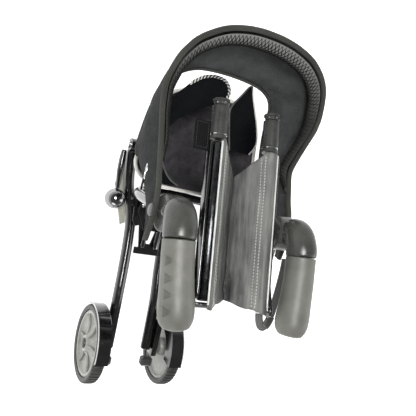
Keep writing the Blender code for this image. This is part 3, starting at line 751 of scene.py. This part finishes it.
def brim(u, t, lift=0.0):
    """The padded mesh band inside the rim, t from its front edge to its seam."""
    puff = math.sin(math.pi * min(1.0, 0.06 + 0.94 * max(0.0, t)) ** 0.74)
    deep = mesh_depth(u)
    return lined(u, 0.0004 + (deep + 0.003) * t, 0.002 + 0.46 * deep * max(0.0, puff) + lift)


cells = int(length / PITCH)
layers = 8
verts, faces, index = [], [], {}


def knot(i, j):
    """Lattice corner, i in half cells along and j in half cells deep."""
    if (i, j) not in index:
        u = MESH_FROM + 4 + (MESH_TO - MESH_FROM - 8) * i / (2 * cells)
        index[(i, j)] = len(verts)
        verts.append(brim(u, j / layers, 0.0014))
    return index[(i, j)]


for i in range(1, 2 * cells):
    for j in range(layers - 1):
        if (i + j) % 2 == 1:
            faces.append((knot(i, j), knot(i + 1, j + 1), knot(i, j + 2), knot(i - 1, j + 1)))
net = add("hood_mesh_net", verts, faces)
modify(net, "WIREFRAME", thickness=0.0015, use_even_offset=False, use_boundary=True)
place(net, "hood", "net")

rows = [[brim(u, r / 8) for u in range(MESH_FROM + 2, MESH_TO - 1)] for r in range(9)]
place(sheet("hood_mesh_backing", rows, 0.0006), "hood", "backing")

seam = [lined(u, 0.0044 + mesh_depth(u) + 0.0012, 0.0024) for u in range(MESH_FROM, MESH_TO)]
place(tube("hood_seam_tape", [tuple(p) for p in seam[::2]], 0.0011, 8, 0, flat=0.7), "hood",
    "binding")
hang = Vector((-0.103, 0.088, 0.24))
loop = [hang + Vector((-0.0006 - 0.0008 * math.sin(a), 0.0095 * math.cos(a) - 0.0095,
    0.0036 * math.sin(a))) for a in (math.tau * k / 24 for k in range(24))]
place(tube("zip_pull_loop", [tuple(p) for p in loop], 0.0008, 10, 0, closed=True), "hood", "bright")
place(tube("zip_pull_cord", [tuple(hang + Vector(p)) for p in ((-0.0012, -0.018, 0.0),
    (-0.0022, -0.025, 0.0012), (-0.0018, -0.032, 0.0006))], 0.0013, 10, 6), "hood", "web")
for side, s in SIDES:
    cap = lathe("hood_pivot_cap_" + side, mm((0.4, 2.9), (4.5, 2.8), (6.6, 2.3), (7.6, 1.2),
        (7.7, 0), (0.4, 0)), (s * 0.1001, FOLD_Y, 0.2745), (s, 0, 0), 40)
    place(cap, "hood", "shell", "hood_cap_" + side)

# ---- handles

ELBOW = mm((83.8, 39.5, 282, 0.39), (83.6, 42.5, 293, 0.56), (82.2, 46.6, 306, 0.87),
    (82.8, 42, 316.5, 0.97), (83.5, 29, 325, 1.0), (83.6, 19.2, 328.2, 0.97))
GRIP = mm((83.6, 18.7, 328.4, 0.9), (83.2, 8, 331.2, 0.9), (82, -12, 337, 0.91),
    (80, -33, 342.5, 0.94), (78.4, -48, 346, 0.985), (77.4, -57, 348, 0.985),
    (76.6, -63.5, 349.3, 0.93), (76, -68, 350.2, 0.83), (75.6, -71.2, 350.7, 0.7),
    (75.4, -73, 351, 0.52))
BOSS_IN, BOSS_OUT, BOSS_R = 0.0655, 0.0913, 0.0225


def fuse(base, *others, voxel):
    """One watertight skin round overlapping closed shapes."""
    bm = bmesh.new()
    for obj in (base, *others):
        bm.from_mesh(obj.data)
    bm.to_mesh(base.data)
    bm.free()
    for obj in others:
        bpy.data.objects.remove(obj)
    modify(base, "REMESH", mode="VOXEL", voxel_size=voxel)
    modify(base, "CORRECTIVE_SMOOTH", iterations=8, use_only_smooth=True)
    return apply_all(base)


def finger_pads(path):
    """Four raised triangles down the outer side of the left grip."""
    for k in range(4):
        reach = 0.0225 + 0.0172 * k
        for i in range(1, len(path)):
            reach -= (Vector(path[i][:3]) - Vector(path[i - 1][:3])).length
            if reach <= 0:
                break
        centre, radius = Vector(path[i][:3]), 0.0204 * path[i][3]
        way = (Vector(path[i + 1][:3]) - Vector(path[i - 1][:3])).normalized()
        out = Vector((-0.83, 0.0, 0.56))
        out = (out - way * out.dot(way)).normalized()
        side = out.cross(way)
        steps = 14
        verts, faces, rows = [], [], []
        for a in range(steps + 1):
            rows.append(len(verts))
            for b in range(steps + 1):
                u = a / steps
                v = (2 * b / steps - 1) * (1 - 0.82 * u)
                edge = min(u / 0.18, (1 - u) / 0.1, (1 - abs(2 * b / steps - 1)) / 0.22, 1.0)
                r = radius + (0.0011 * math.sin(edge * math.pi / 2) - 0.0004)
                turn = (u - 0.5) * 0.0105 / radius
                spot = out * math.cos(turn) + side * math.sin(turn)
                verts.append(centre + spot * r + way * v * 0.0066)
        for a in range(steps):
            faces += bridge(rows[a], rows[a + 1], steps + 1, False)
        pad = add("grip_finger_pad_%d" % (k + 1), verts, faces)
        modify(pad, "SOLIDIFY", thickness=0.0006, offset=-1.0)
        place(pad, "handle_left", "pad")


for side, s in SIDES:
    wide = BOSS_OUT - BOSS_IN
    boss = lathe("handle_clamshell_" + side, [(0.0004, 0.0), (BOSS_R - 0.003, 0.0),
        (BOSS_R - 0.001, 0.0008), (BOSS_R, 0.0028), (BOSS_R, wide - 0.0028),
        (BOSS_R - 0.001, wide - 0.0008), (BOSS_R - 0.003, wide), (0.0004, wide)],
        (s * BOSS_IN, FOLD_Y, FOLD_Z), (s, 0, 0), 64)
    fuse(boss, tube("elbow_" + side, mirrored(ELBOW, s), 0.0192, 40, 8, soft=(0.22, 0.04)),
        voxel=0.0008)
    place(boss, "handle_" + side, "shell", "handle_shell_" + side)
    grip = tube("grip_sleeve_" + side, mirrored(GRIP, s), 0.0204, 56, 10, soft=(0.04, 0.3))
    place(grip, "handle_" + side, "grip", "grip_" + side)
    if side == "left":
        finger_pads(smooth_path(mirrored(GRIP, s), 10))
    for where, y, z in (("upper", 0.0534, 0.2745), ("lower", 0.0249, 0.2858)):
        node = "handle_screw_" + where + "_" + side
        screw = screw_head("screw_" + where + "_" + side, (s * (BOSS_IN - 0.0005), y, z),
            (-s, 0, 0), 0.0028, "handle_" + side)
        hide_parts(node)

# ---- front legs

ALONG = (TOP - PIVOT).normalized()
FACE = Vector((1, 0, 0)).cross(ALONG)
FRONT_X = 0.0375


def on_leg(x, t, n=0.0):
    return Vector((x, 0, 0)) + PIVOT + ALONG * t + FACE * n


for side, s in SIDES:
    x = s * FRONT_X
    place(tube("leg_tube_" + side, [on_leg(x, 0.0048), on_leg(x, 0.19)], 0.0084, 40, 0),
        "front_legs", "tube", "front_tube_" + side)
    place(lathe("leg_sleeve_" + side, mm((4.1, 19), (9.5, 19), (10.4, 18.4), (10.5, 15),
        (10.3, -13.8), (10.5, -14.2), (10.5, -15), (9.7, -15.4), (9.7, -18), (10.4, -18.4),
        (10.6, -19.2), (10.6, -21.4), (10, -22.2), (4.1, -22.4)), on_leg(x, 0.2155), ALONG, 48,
        True, 25), "front_legs", "satin_black", "front_sleeve_" + side)
    place(lathe("leg_band_" + side, mm((9.8, -15.8), (10.3, -16.1), (10.3, -17.4), (9.8, -17.7)),
        on_leg(x, 0.2155), ALONG, 48, True), "front_legs", "bright")
    place(lathe("leg_socket_" + side, mm((5.2, 0), (9.8, 0), (10.4, -0.6), (10.4, -2.6),
        (9.8, -3.2), (8.8, -3.4), (8.6, -7.2), (9, -7.7), (5.2, -7.7)), on_leg(x, 0.243), ALONG,
        48, True, 30), "front_legs", "satin_black", "front_socket_" + side)
    low, high = on_leg(0, 0.0135), on_leg(0, 0.185)
    place(slab("leg_side_rail_" + side, capsule((low.y, low.z), (high.y, high.z), 0.0066),
        s * 0.0464, s * 0.0499, "x", 0.0012), "front_legs", "black")
    for k, a in enumerate((-60, 0, 60, 120)):
        out = (FACE * math.cos(math.radians(a)) + Vector((1, 0, 0)) * math.sin(math.radians(a)))
        mid = on_leg(x, 0.243 - 0.0053) + out * 0.0086
        place(lathe("socket_pin_%s_%d" % (side, k),
            mm((0.2, 1.3), (1.1, 1), (1.4, 0), (0.2, -0.2)), mid, out, 16), "front_legs", "bright")

VALLEY = mm((0, -19.5), (5, -16), (13.5, -8.5), (22, -1), (27.5, 4.5))
WRAP = [(FRONT_X + 0.0101 * math.cos(math.radians(a)),
    0.0101 * math.sin(math.radians(a))) for a in (128, 110, 90, 70, 50, 31)]
section = smooth_path([(-x, n) for x, n in reversed(VALLEY[1:] + WRAP[:3])] + VALLEY + WRAP, 5)


def panel_point(x, n, v):
    """A point on the covered front panel; v runs 0 at the hem to 1 at the top edge."""
    near = max(0.0, 1 - abs(x) / 0.03)
    top = 0.192 - 0.034 * near
    hem = -0.003 + 0.0115 * near + 0.0018 * math.sin(x * 260 + 0.6) * (1 - near)
    t = hem + (top - hem) * v
    sag = 0.0012 * noise.noise(Vector((x * 90, t * 26, 2.0)))
    crush = 0.0034 * max(0.0, 1 - v / 0.38) * noise.noise(Vector((x * 150, t * 70, 7.0)))
    tight = min(1.0, abs(abs(x) - FRONT_X) / 0.01)
    return on_leg(x, t, n + (sag + crush) * (0.1 + 0.9 * tight))


PANEL_ROWS = 90
rows = [[panel_point(x, n, r / PANEL_ROWS) for x, n in section] for r in range(PANEL_ROWS + 1)]
place(sheet("leg_cover_cloth", rows, 0.001), "front_legs", "panel", "front_panel")
for side, s in SIDES:
    for k, (x, n) in enumerate(((0.0255, 0.0022), (0.0288, 0.0058))):
        line = [panel_point(s * x, n, v / 60) + FACE * 0.0006 for v in range(1, 60)]
        stitches("cover_seam_%s_%d" % (side, k), line, 0.0026, 0.0012, 0.00065, "front_legs")

# pale rods along the cover's outer edges: a painted highlight line where the cloth meets each tube
for side, s in SIDES:
    a = math.radians(46 if s > 0 else 92)
    rod = [on_leg(s * (FRONT_X + 0.0108 * math.cos(a)), t, 0.0108 * math.sin(a)) for t in (0.001,
        0.06, 0.12, 0.19)]
    place(tube("cover_edge_rod_" + side, rod, 0.0012, 12, 4), "front_legs", "edge")

bm = bmesh.new()
for k in range(8):
    bm.verts.new(on_leg(-0.0488 if k & 1 else -0.0698, 0.1765 if k & 2 else 0.213,
        0.0009 if k & 4 else -0.0009))
bmesh.ops.convex_hull(bm, input=bm.verts)
uv = bm.loops.layers.uv.new("UVMap")
for face in bm.faces:
    for loop in face.loops:
        loop[uv].uv = (loop.vert.co.x, loop.vert.co.y)
tab = from_bmesh("webbing_tab", bm)
modify(tab, "BEVEL", width=0.0005, segments=2)
place(tab, "front_legs", "web", "webbing_flap")
edge = [on_leg(-0.052, 0.18, 0.0011), on_leg(-0.067, 0.18, 0.0011), on_leg(-0.067, 0.21, 0.0011),
    on_leg(-0.052, 0.21, 0.0011), on_leg(-0.052, 0.18, 0.0011)]
stitches("tab_stitching", edge, 0.0022, 0.0012, 0.00032, "front_legs", "dark_thread", "webbing")

# ---- carrying loop

LOOP = mm((64.5, 18), (64, 0), (65, -30), (68, -60), (74, -80), (82, -84), (88, -70), (90, -40),
    (90.5, -10), (89.5, 8))
path = smooth_path(LOOP, 10)


def ribbon(points, half, z, across):
    """Rows of a flat band of webbing along a path at height z."""
    rows = []
    for i, p in enumerate(points):
        a, b = points[max(i - 1, 0)], points[min(i + 1, len(points) - 1)]
        way = Vector((b[0] - a[0], b[1] - a[1])).normalized() * half
        rows.append([Vector((p[0] + way.y * k, p[1] - way.x * k, z)) for k in across])
    return rows


rows = ribbon(path, 0.0054, 0.292, (1, 0.6, 0.2, -0.2, -0.6, -1))
place(sheet("carry_webbing", rows, 0.0017), "frame", "grey_web", "carry_strap")

near = path[len(path) // 2 + 6:len(path) // 2 + 16]
rows = ribbon(near, 0.006, 0.2934, (1, 0.5, 0, -0.5, -1))
place(sheet("strap_patch", rows, 0.0008), "frame", "tape", slot="webbing")
border = [r[0].lerp(r[4], 0.1) for r in rows] + [r[0].lerp(r[4], 0.9) for r in reversed(rows)]
stitches("strap_patch_stitching", [p + Vector((0, 0, 0.0005)) for p in border + border[:1]],
    0.0018, 0.001, 0.0003, "frame", "thread", "webbing")

# ---- rear legs and wheels

WHEEL_X, WHEEL_Y, WHEEL_R = 0.0618, -0.2121, 0.061
REAR_Y, REAR_Z = 0.105, 0.037
LEG = mm((54.5, 97.5, 36.5), (52.8, 78, 35), (48, 45, 34), (40, 17.5, 34.5), (33, -10, 36),
    (30.5, -40, 39), (30.5, -85, 46), (32, -132.5, 54), (32.5, -185, 58.5), (32.5, -218, 60.5))


def tread(side, s):
    """A tyre with moulded cross ribs round its tread."""
    steps, half = 216, 0.0089
    verts, faces = [], []
    side_wall = [(0.0516, half * 0.86), (0.056, half), (0.058, half), (0.0594, half * 0.93),
        (0.0602, half * 0.8), (0.0608, half * 0.55)]
    profile = side_wall + [(0.0609, 0.0)] + [(r, -h) for r, h in reversed(side_wall)]
    for i in range(steps):
        a = math.tau * i / steps
        low = (i % 4) in (0, 1)
        for r, h in profile:
            r = r - (0.0011 if low and r > 0.059 else 0.0)
            verts.append(Vector((s * (WHEEL_X + h), WHEEL_Y + r * math.cos(a),
                WHEEL_R + r * math.sin(a))))
    wide = len(profile)
    for i in range(steps):
        faces += bridge(i * wide, (i + 1) % steps * wide, wide)
    obj = add("ribbed_tyre_" + side, verts, faces, sharp=28)
    return place(obj, "wheel_" + side, "tyre", "tyre_" + side)


def fender(side, s):
    """The quarter mudguard over a tyre, with a pale bead along its outer edge as a painted
    highlight.
    """
    section = mm((49.8, 40), (51.4, 40), (51.4, 61.5), (52.1, 62.2), (71.2, 62.2), (71.2, 64),
        (50.5, 64), (49.8, 63.3))
    steps, wide = 48, len(section)
    verts, faces, bead = [], [], []
    for i in range(steps + 1):
        a = math.radians(-8 + 116 * i / steps)
        for x, r in section:
            verts.append(Vector((s * x, WHEEL_Y + r * math.sin(a), WHEEL_R + r * math.cos(a))))
        bead.append((s * 0.0708, WHEEL_Y + 0.064 * math.sin(a), WHEEL_R + 0.064 * math.cos(a)))
    for i in range(steps):
        faces += bridge(i * wide, (i + 1) * wide, wide)
    faces.append(tuple(range(wide)))
    faces.append(tuple(range(steps * wide, (steps + 1) * wide)))
    place(add("mudguard_" + side, verts, faces, sharp=30), "rear_legs", "black")
    place(tube("mudguard_bead_" + side, bead[1:-1:2], 0.0008, 10, 0), "rear_legs", "edge")


for side, s in SIDES:
    out = (s, 0, 0)
    hub_at = (s * WHEEL_X, WHEEL_Y, WHEEL_R)
    leg = tube("leg_bow_" + side, mirrored(LEG, s), 0.0084, 28, 8)
    eye = lathe("leg_eye_" + side, mm((10.2, 5.8), (10.2, -5.8), (9.6, -6.4), (5.8, -6.4),
        (5.8, 6.4), (9.6, 6.4)), (s * 0.0545, REAR_Y, REAR_Z), out, 48, True)
    place(eye, "rear_legs", "black")
    place(leg, "rear_legs", "black", "rear_leg_" + side)
    tread(side, s)
    hub = lathe("wheel_disc_" + side, mm((51.1, 6), (51.1, -6.2), (47.5, -7.4), (45.5, -3.5),
        (15, -1.5), (13, -8.4), (4.7, -8.4), (4.7, 10.4), (10.5, 10.4), (12.2, 9.8), (13.4, 7),
        (17, 3.8), (24, 2), (34, 1.4), (42, 2.2), (44.8, 4), (46, 6.6), (47.8, 7.3), (50, 7)),
        hub_at, out, 96, True, 40)
    place(hub, "wheel_" + side, "wheel", "wheel_hub_" + side)
    for k in range(6):
        a = math.tau * (k + 0.5) / 6
        radial = Vector((0, math.cos(a), math.sin(a)))
        spoke = [Vector(hub_at) + radial * r + Vector(out) * h for r,
            h in ((0.0125, 0.008), (0.02, 0.0046), (0.032, 0.003), (0.044, 0.004))]
        place(tube("wheel_rib_%s_%d" % (side, k), spoke, 0.0021, 12, 6, 0.8), "wheel_" + side,
            "wheel")
    place(lathe("wheel_cap_" + side, mm((0.4, 14.5), (4.8, 14.3), (6.8, 13.6), (7.9, 12),
        (8, 10.8), (0.4, 10.8)), hub_at, out, 40), "wheel_" + side, "satin_black",
        "hub_cap_" + side)
    plate = slab("leg_foot_block_" + side, [(s * 0.0413, -0.227), (s * 0.0505, -0.227),
        (s * 0.0505, -0.166), (s * 0.0413, -0.166)], 0.05, 0.07, edge=0.0018)
    place(plate, "rear_legs", "black", "axle_bracket_" + side)
    fender(side, s)
    dress("axle_" + side, "bright")
    dress("brake_pedal_" + side, "satin_black", 0.0012)
    rivet = lathe("brace_rivet_head_" + side, mm((0.3, 1.9), (2, 1.7), (3.2, 0.9), (3.6, 0),
        (0.3, 0)), (s * 0.0225, 0.0165, 0.0537), (0, 0, 1), 28)
    place(rivet, "rear_legs", "bright", "brace_rivet_" + side)

GUSSET = mm((29, 30), (29, 4), (21.5, -10), (15, -23), (9, -23))
place(slab("brace_gusset", [(-x, y) for x, y in GUSSET] + [(x, y) for x, y in reversed(GUSSET)],
    0.0509, 0.0537, edge=0.0008), "rear_legs", "black")
for side, s in SIDES:
    post = [(s * 0.0125, 0.029, 0.0573), (s * 0.012, 0.0, 0.0578), (s * 0.0105, -0.051, 0.055)]
    place(tube("brace_post_" + side, post, 0.0035, 18, 8), "rear_legs", "black")
dress("brace_bracket", "black", 0.0007)
dress("brace_frame", "black", 0.0007)
dress("lever_guard", "cream", 0.0004)

# ---- fold lock

LEVER = mm((-69, 95, 40, 0.9), (-69.2, 78, 41, 1.15), (-68.8, 58, 41.5, 1.1), (-67.5, 44, 41, 0.8),
    (-66.8, 34.5, 40.2, 0.65))
place(tube("lock_arm_bow", LEVER, 0.0044, 24, 10), "lock_arm", "black", "lock_lever")
ball = [(max(0.0003, 0.0162 * math.sin(math.pi * k / 40)),
    0.0162 * math.cos(math.pi * k / 40)) for k in range(41)]
place(lathe("lock_ball", ball, (-0.0668, 0.0175, 0.04), (0, 1, 0), 64, sharp=60), "lock_arm",
    "ball", "lock_knob")

PLATE = mm((-37, 12), (-21.5, 10.5), (-20, -16), (-29, -19.5), (-34.5, -10))
place(slab("brace_side_plate", PLATE, 0.047, 0.0505, edge=0.0008), "rear_legs", "black")

# ---- floor, light and camera

floor = add("floor", [(-4, -4, -0.0004), (4, -4, -0.0004), (4, 4, -0.0004), (-4, 4, -0.0004)],
    [(0, 1, 2, 3)])
pale = Shader("pale_floor", Base_Color=(0.93, 0.93, 0.93), Roughness=0.9)
pale.bsdf.inputs["Emission Color"].default_value = (1, 1, 1, 1)
pale.bsdf.inputs["Emission Strength"].default_value = 0.8
floor.data.materials.append(pale.mat)

world = bpy.data.worlds.new("studio")
world.use_nodes = True
tree = world.node_tree
height = tree.nodes.new("ShaderNodeSeparateXYZ")
tree.links.new(tree.nodes.new("ShaderNodeTexCoord").outputs["Generated"], height.inputs[0])
fade = tree.nodes.new("ShaderNodeMapRange")
for key, value in (("From Min", 0.22), ("From Max", 0.52), ("To Min", 0.95), ("To Max", 0.14)):
    fade.inputs[key].default_value = value
tree.links.new(height.outputs[2], fade.inputs["Value"])
tree.links.new(fade.outputs[0], tree.nodes["Background"].inputs["Strength"])
tree.nodes["Background"].inputs["Color"].default_value = (1, 1, 1, 1)
bpy.context.scene.world = world
bpy.context.scene.view_settings.view_transform = "Standard"


def softbox(name, at, target, size, power):
    light = bpy.data.lights.new(name, "AREA")
    light.shape = "RECTANGLE"
    light.size, light.size_y = size
    light.energy = power
    obj = link(name, light)
    obj.location = at
    obj.rotation_mode = "QUATERNION"
    obj.rotation_quaternion = (Vector(target) - Vector(at)).to_track_quat("-Z", "Y")


softbox("key", (-0.42, 0.3, 1.45), (0, 0, 0.2), (0.45, 0.45), 18)
softbox("fill", (1.1, -0.1, 0.8), (0, 0, 0.2), (0.5, 0.9), 3)
softbox("front", (-0.3, -1.2, 0.7), (0, 0, 0.2), (0.8, 0.4), 3)

azimuth, elevation, roll = (math.radians(a) for a in (-28.4787, 4.9545, 13.3234))
look = Vector((-math.sin(azimuth) * math.cos(elevation), -math.sin(elevation),
    -math.cos(azimuth) * math.cos(elevation)))
level = look.cross(Vector((0, 1, 0))).normalized()
upright = level.cross(look)
right = level * math.cos(roll) + upright * math.sin(roll)
up = upright * math.cos(roll) - level * math.sin(roll)
camera = link("camera", bpy.data.cameras.new("camera"))
camera.data.sensor_width = 36
camera.data.lens = 45.88
camera.data.clip_start = 0.01
camera.rotation_mode = "QUATERNION"
camera.rotation_quaternion = Matrix((right, up, -look)).transposed().to_quaternion()
camera.location = Vector((0, 0.0475, 0.221)) - look * 0.7
bpy.context.scene.camera = camera
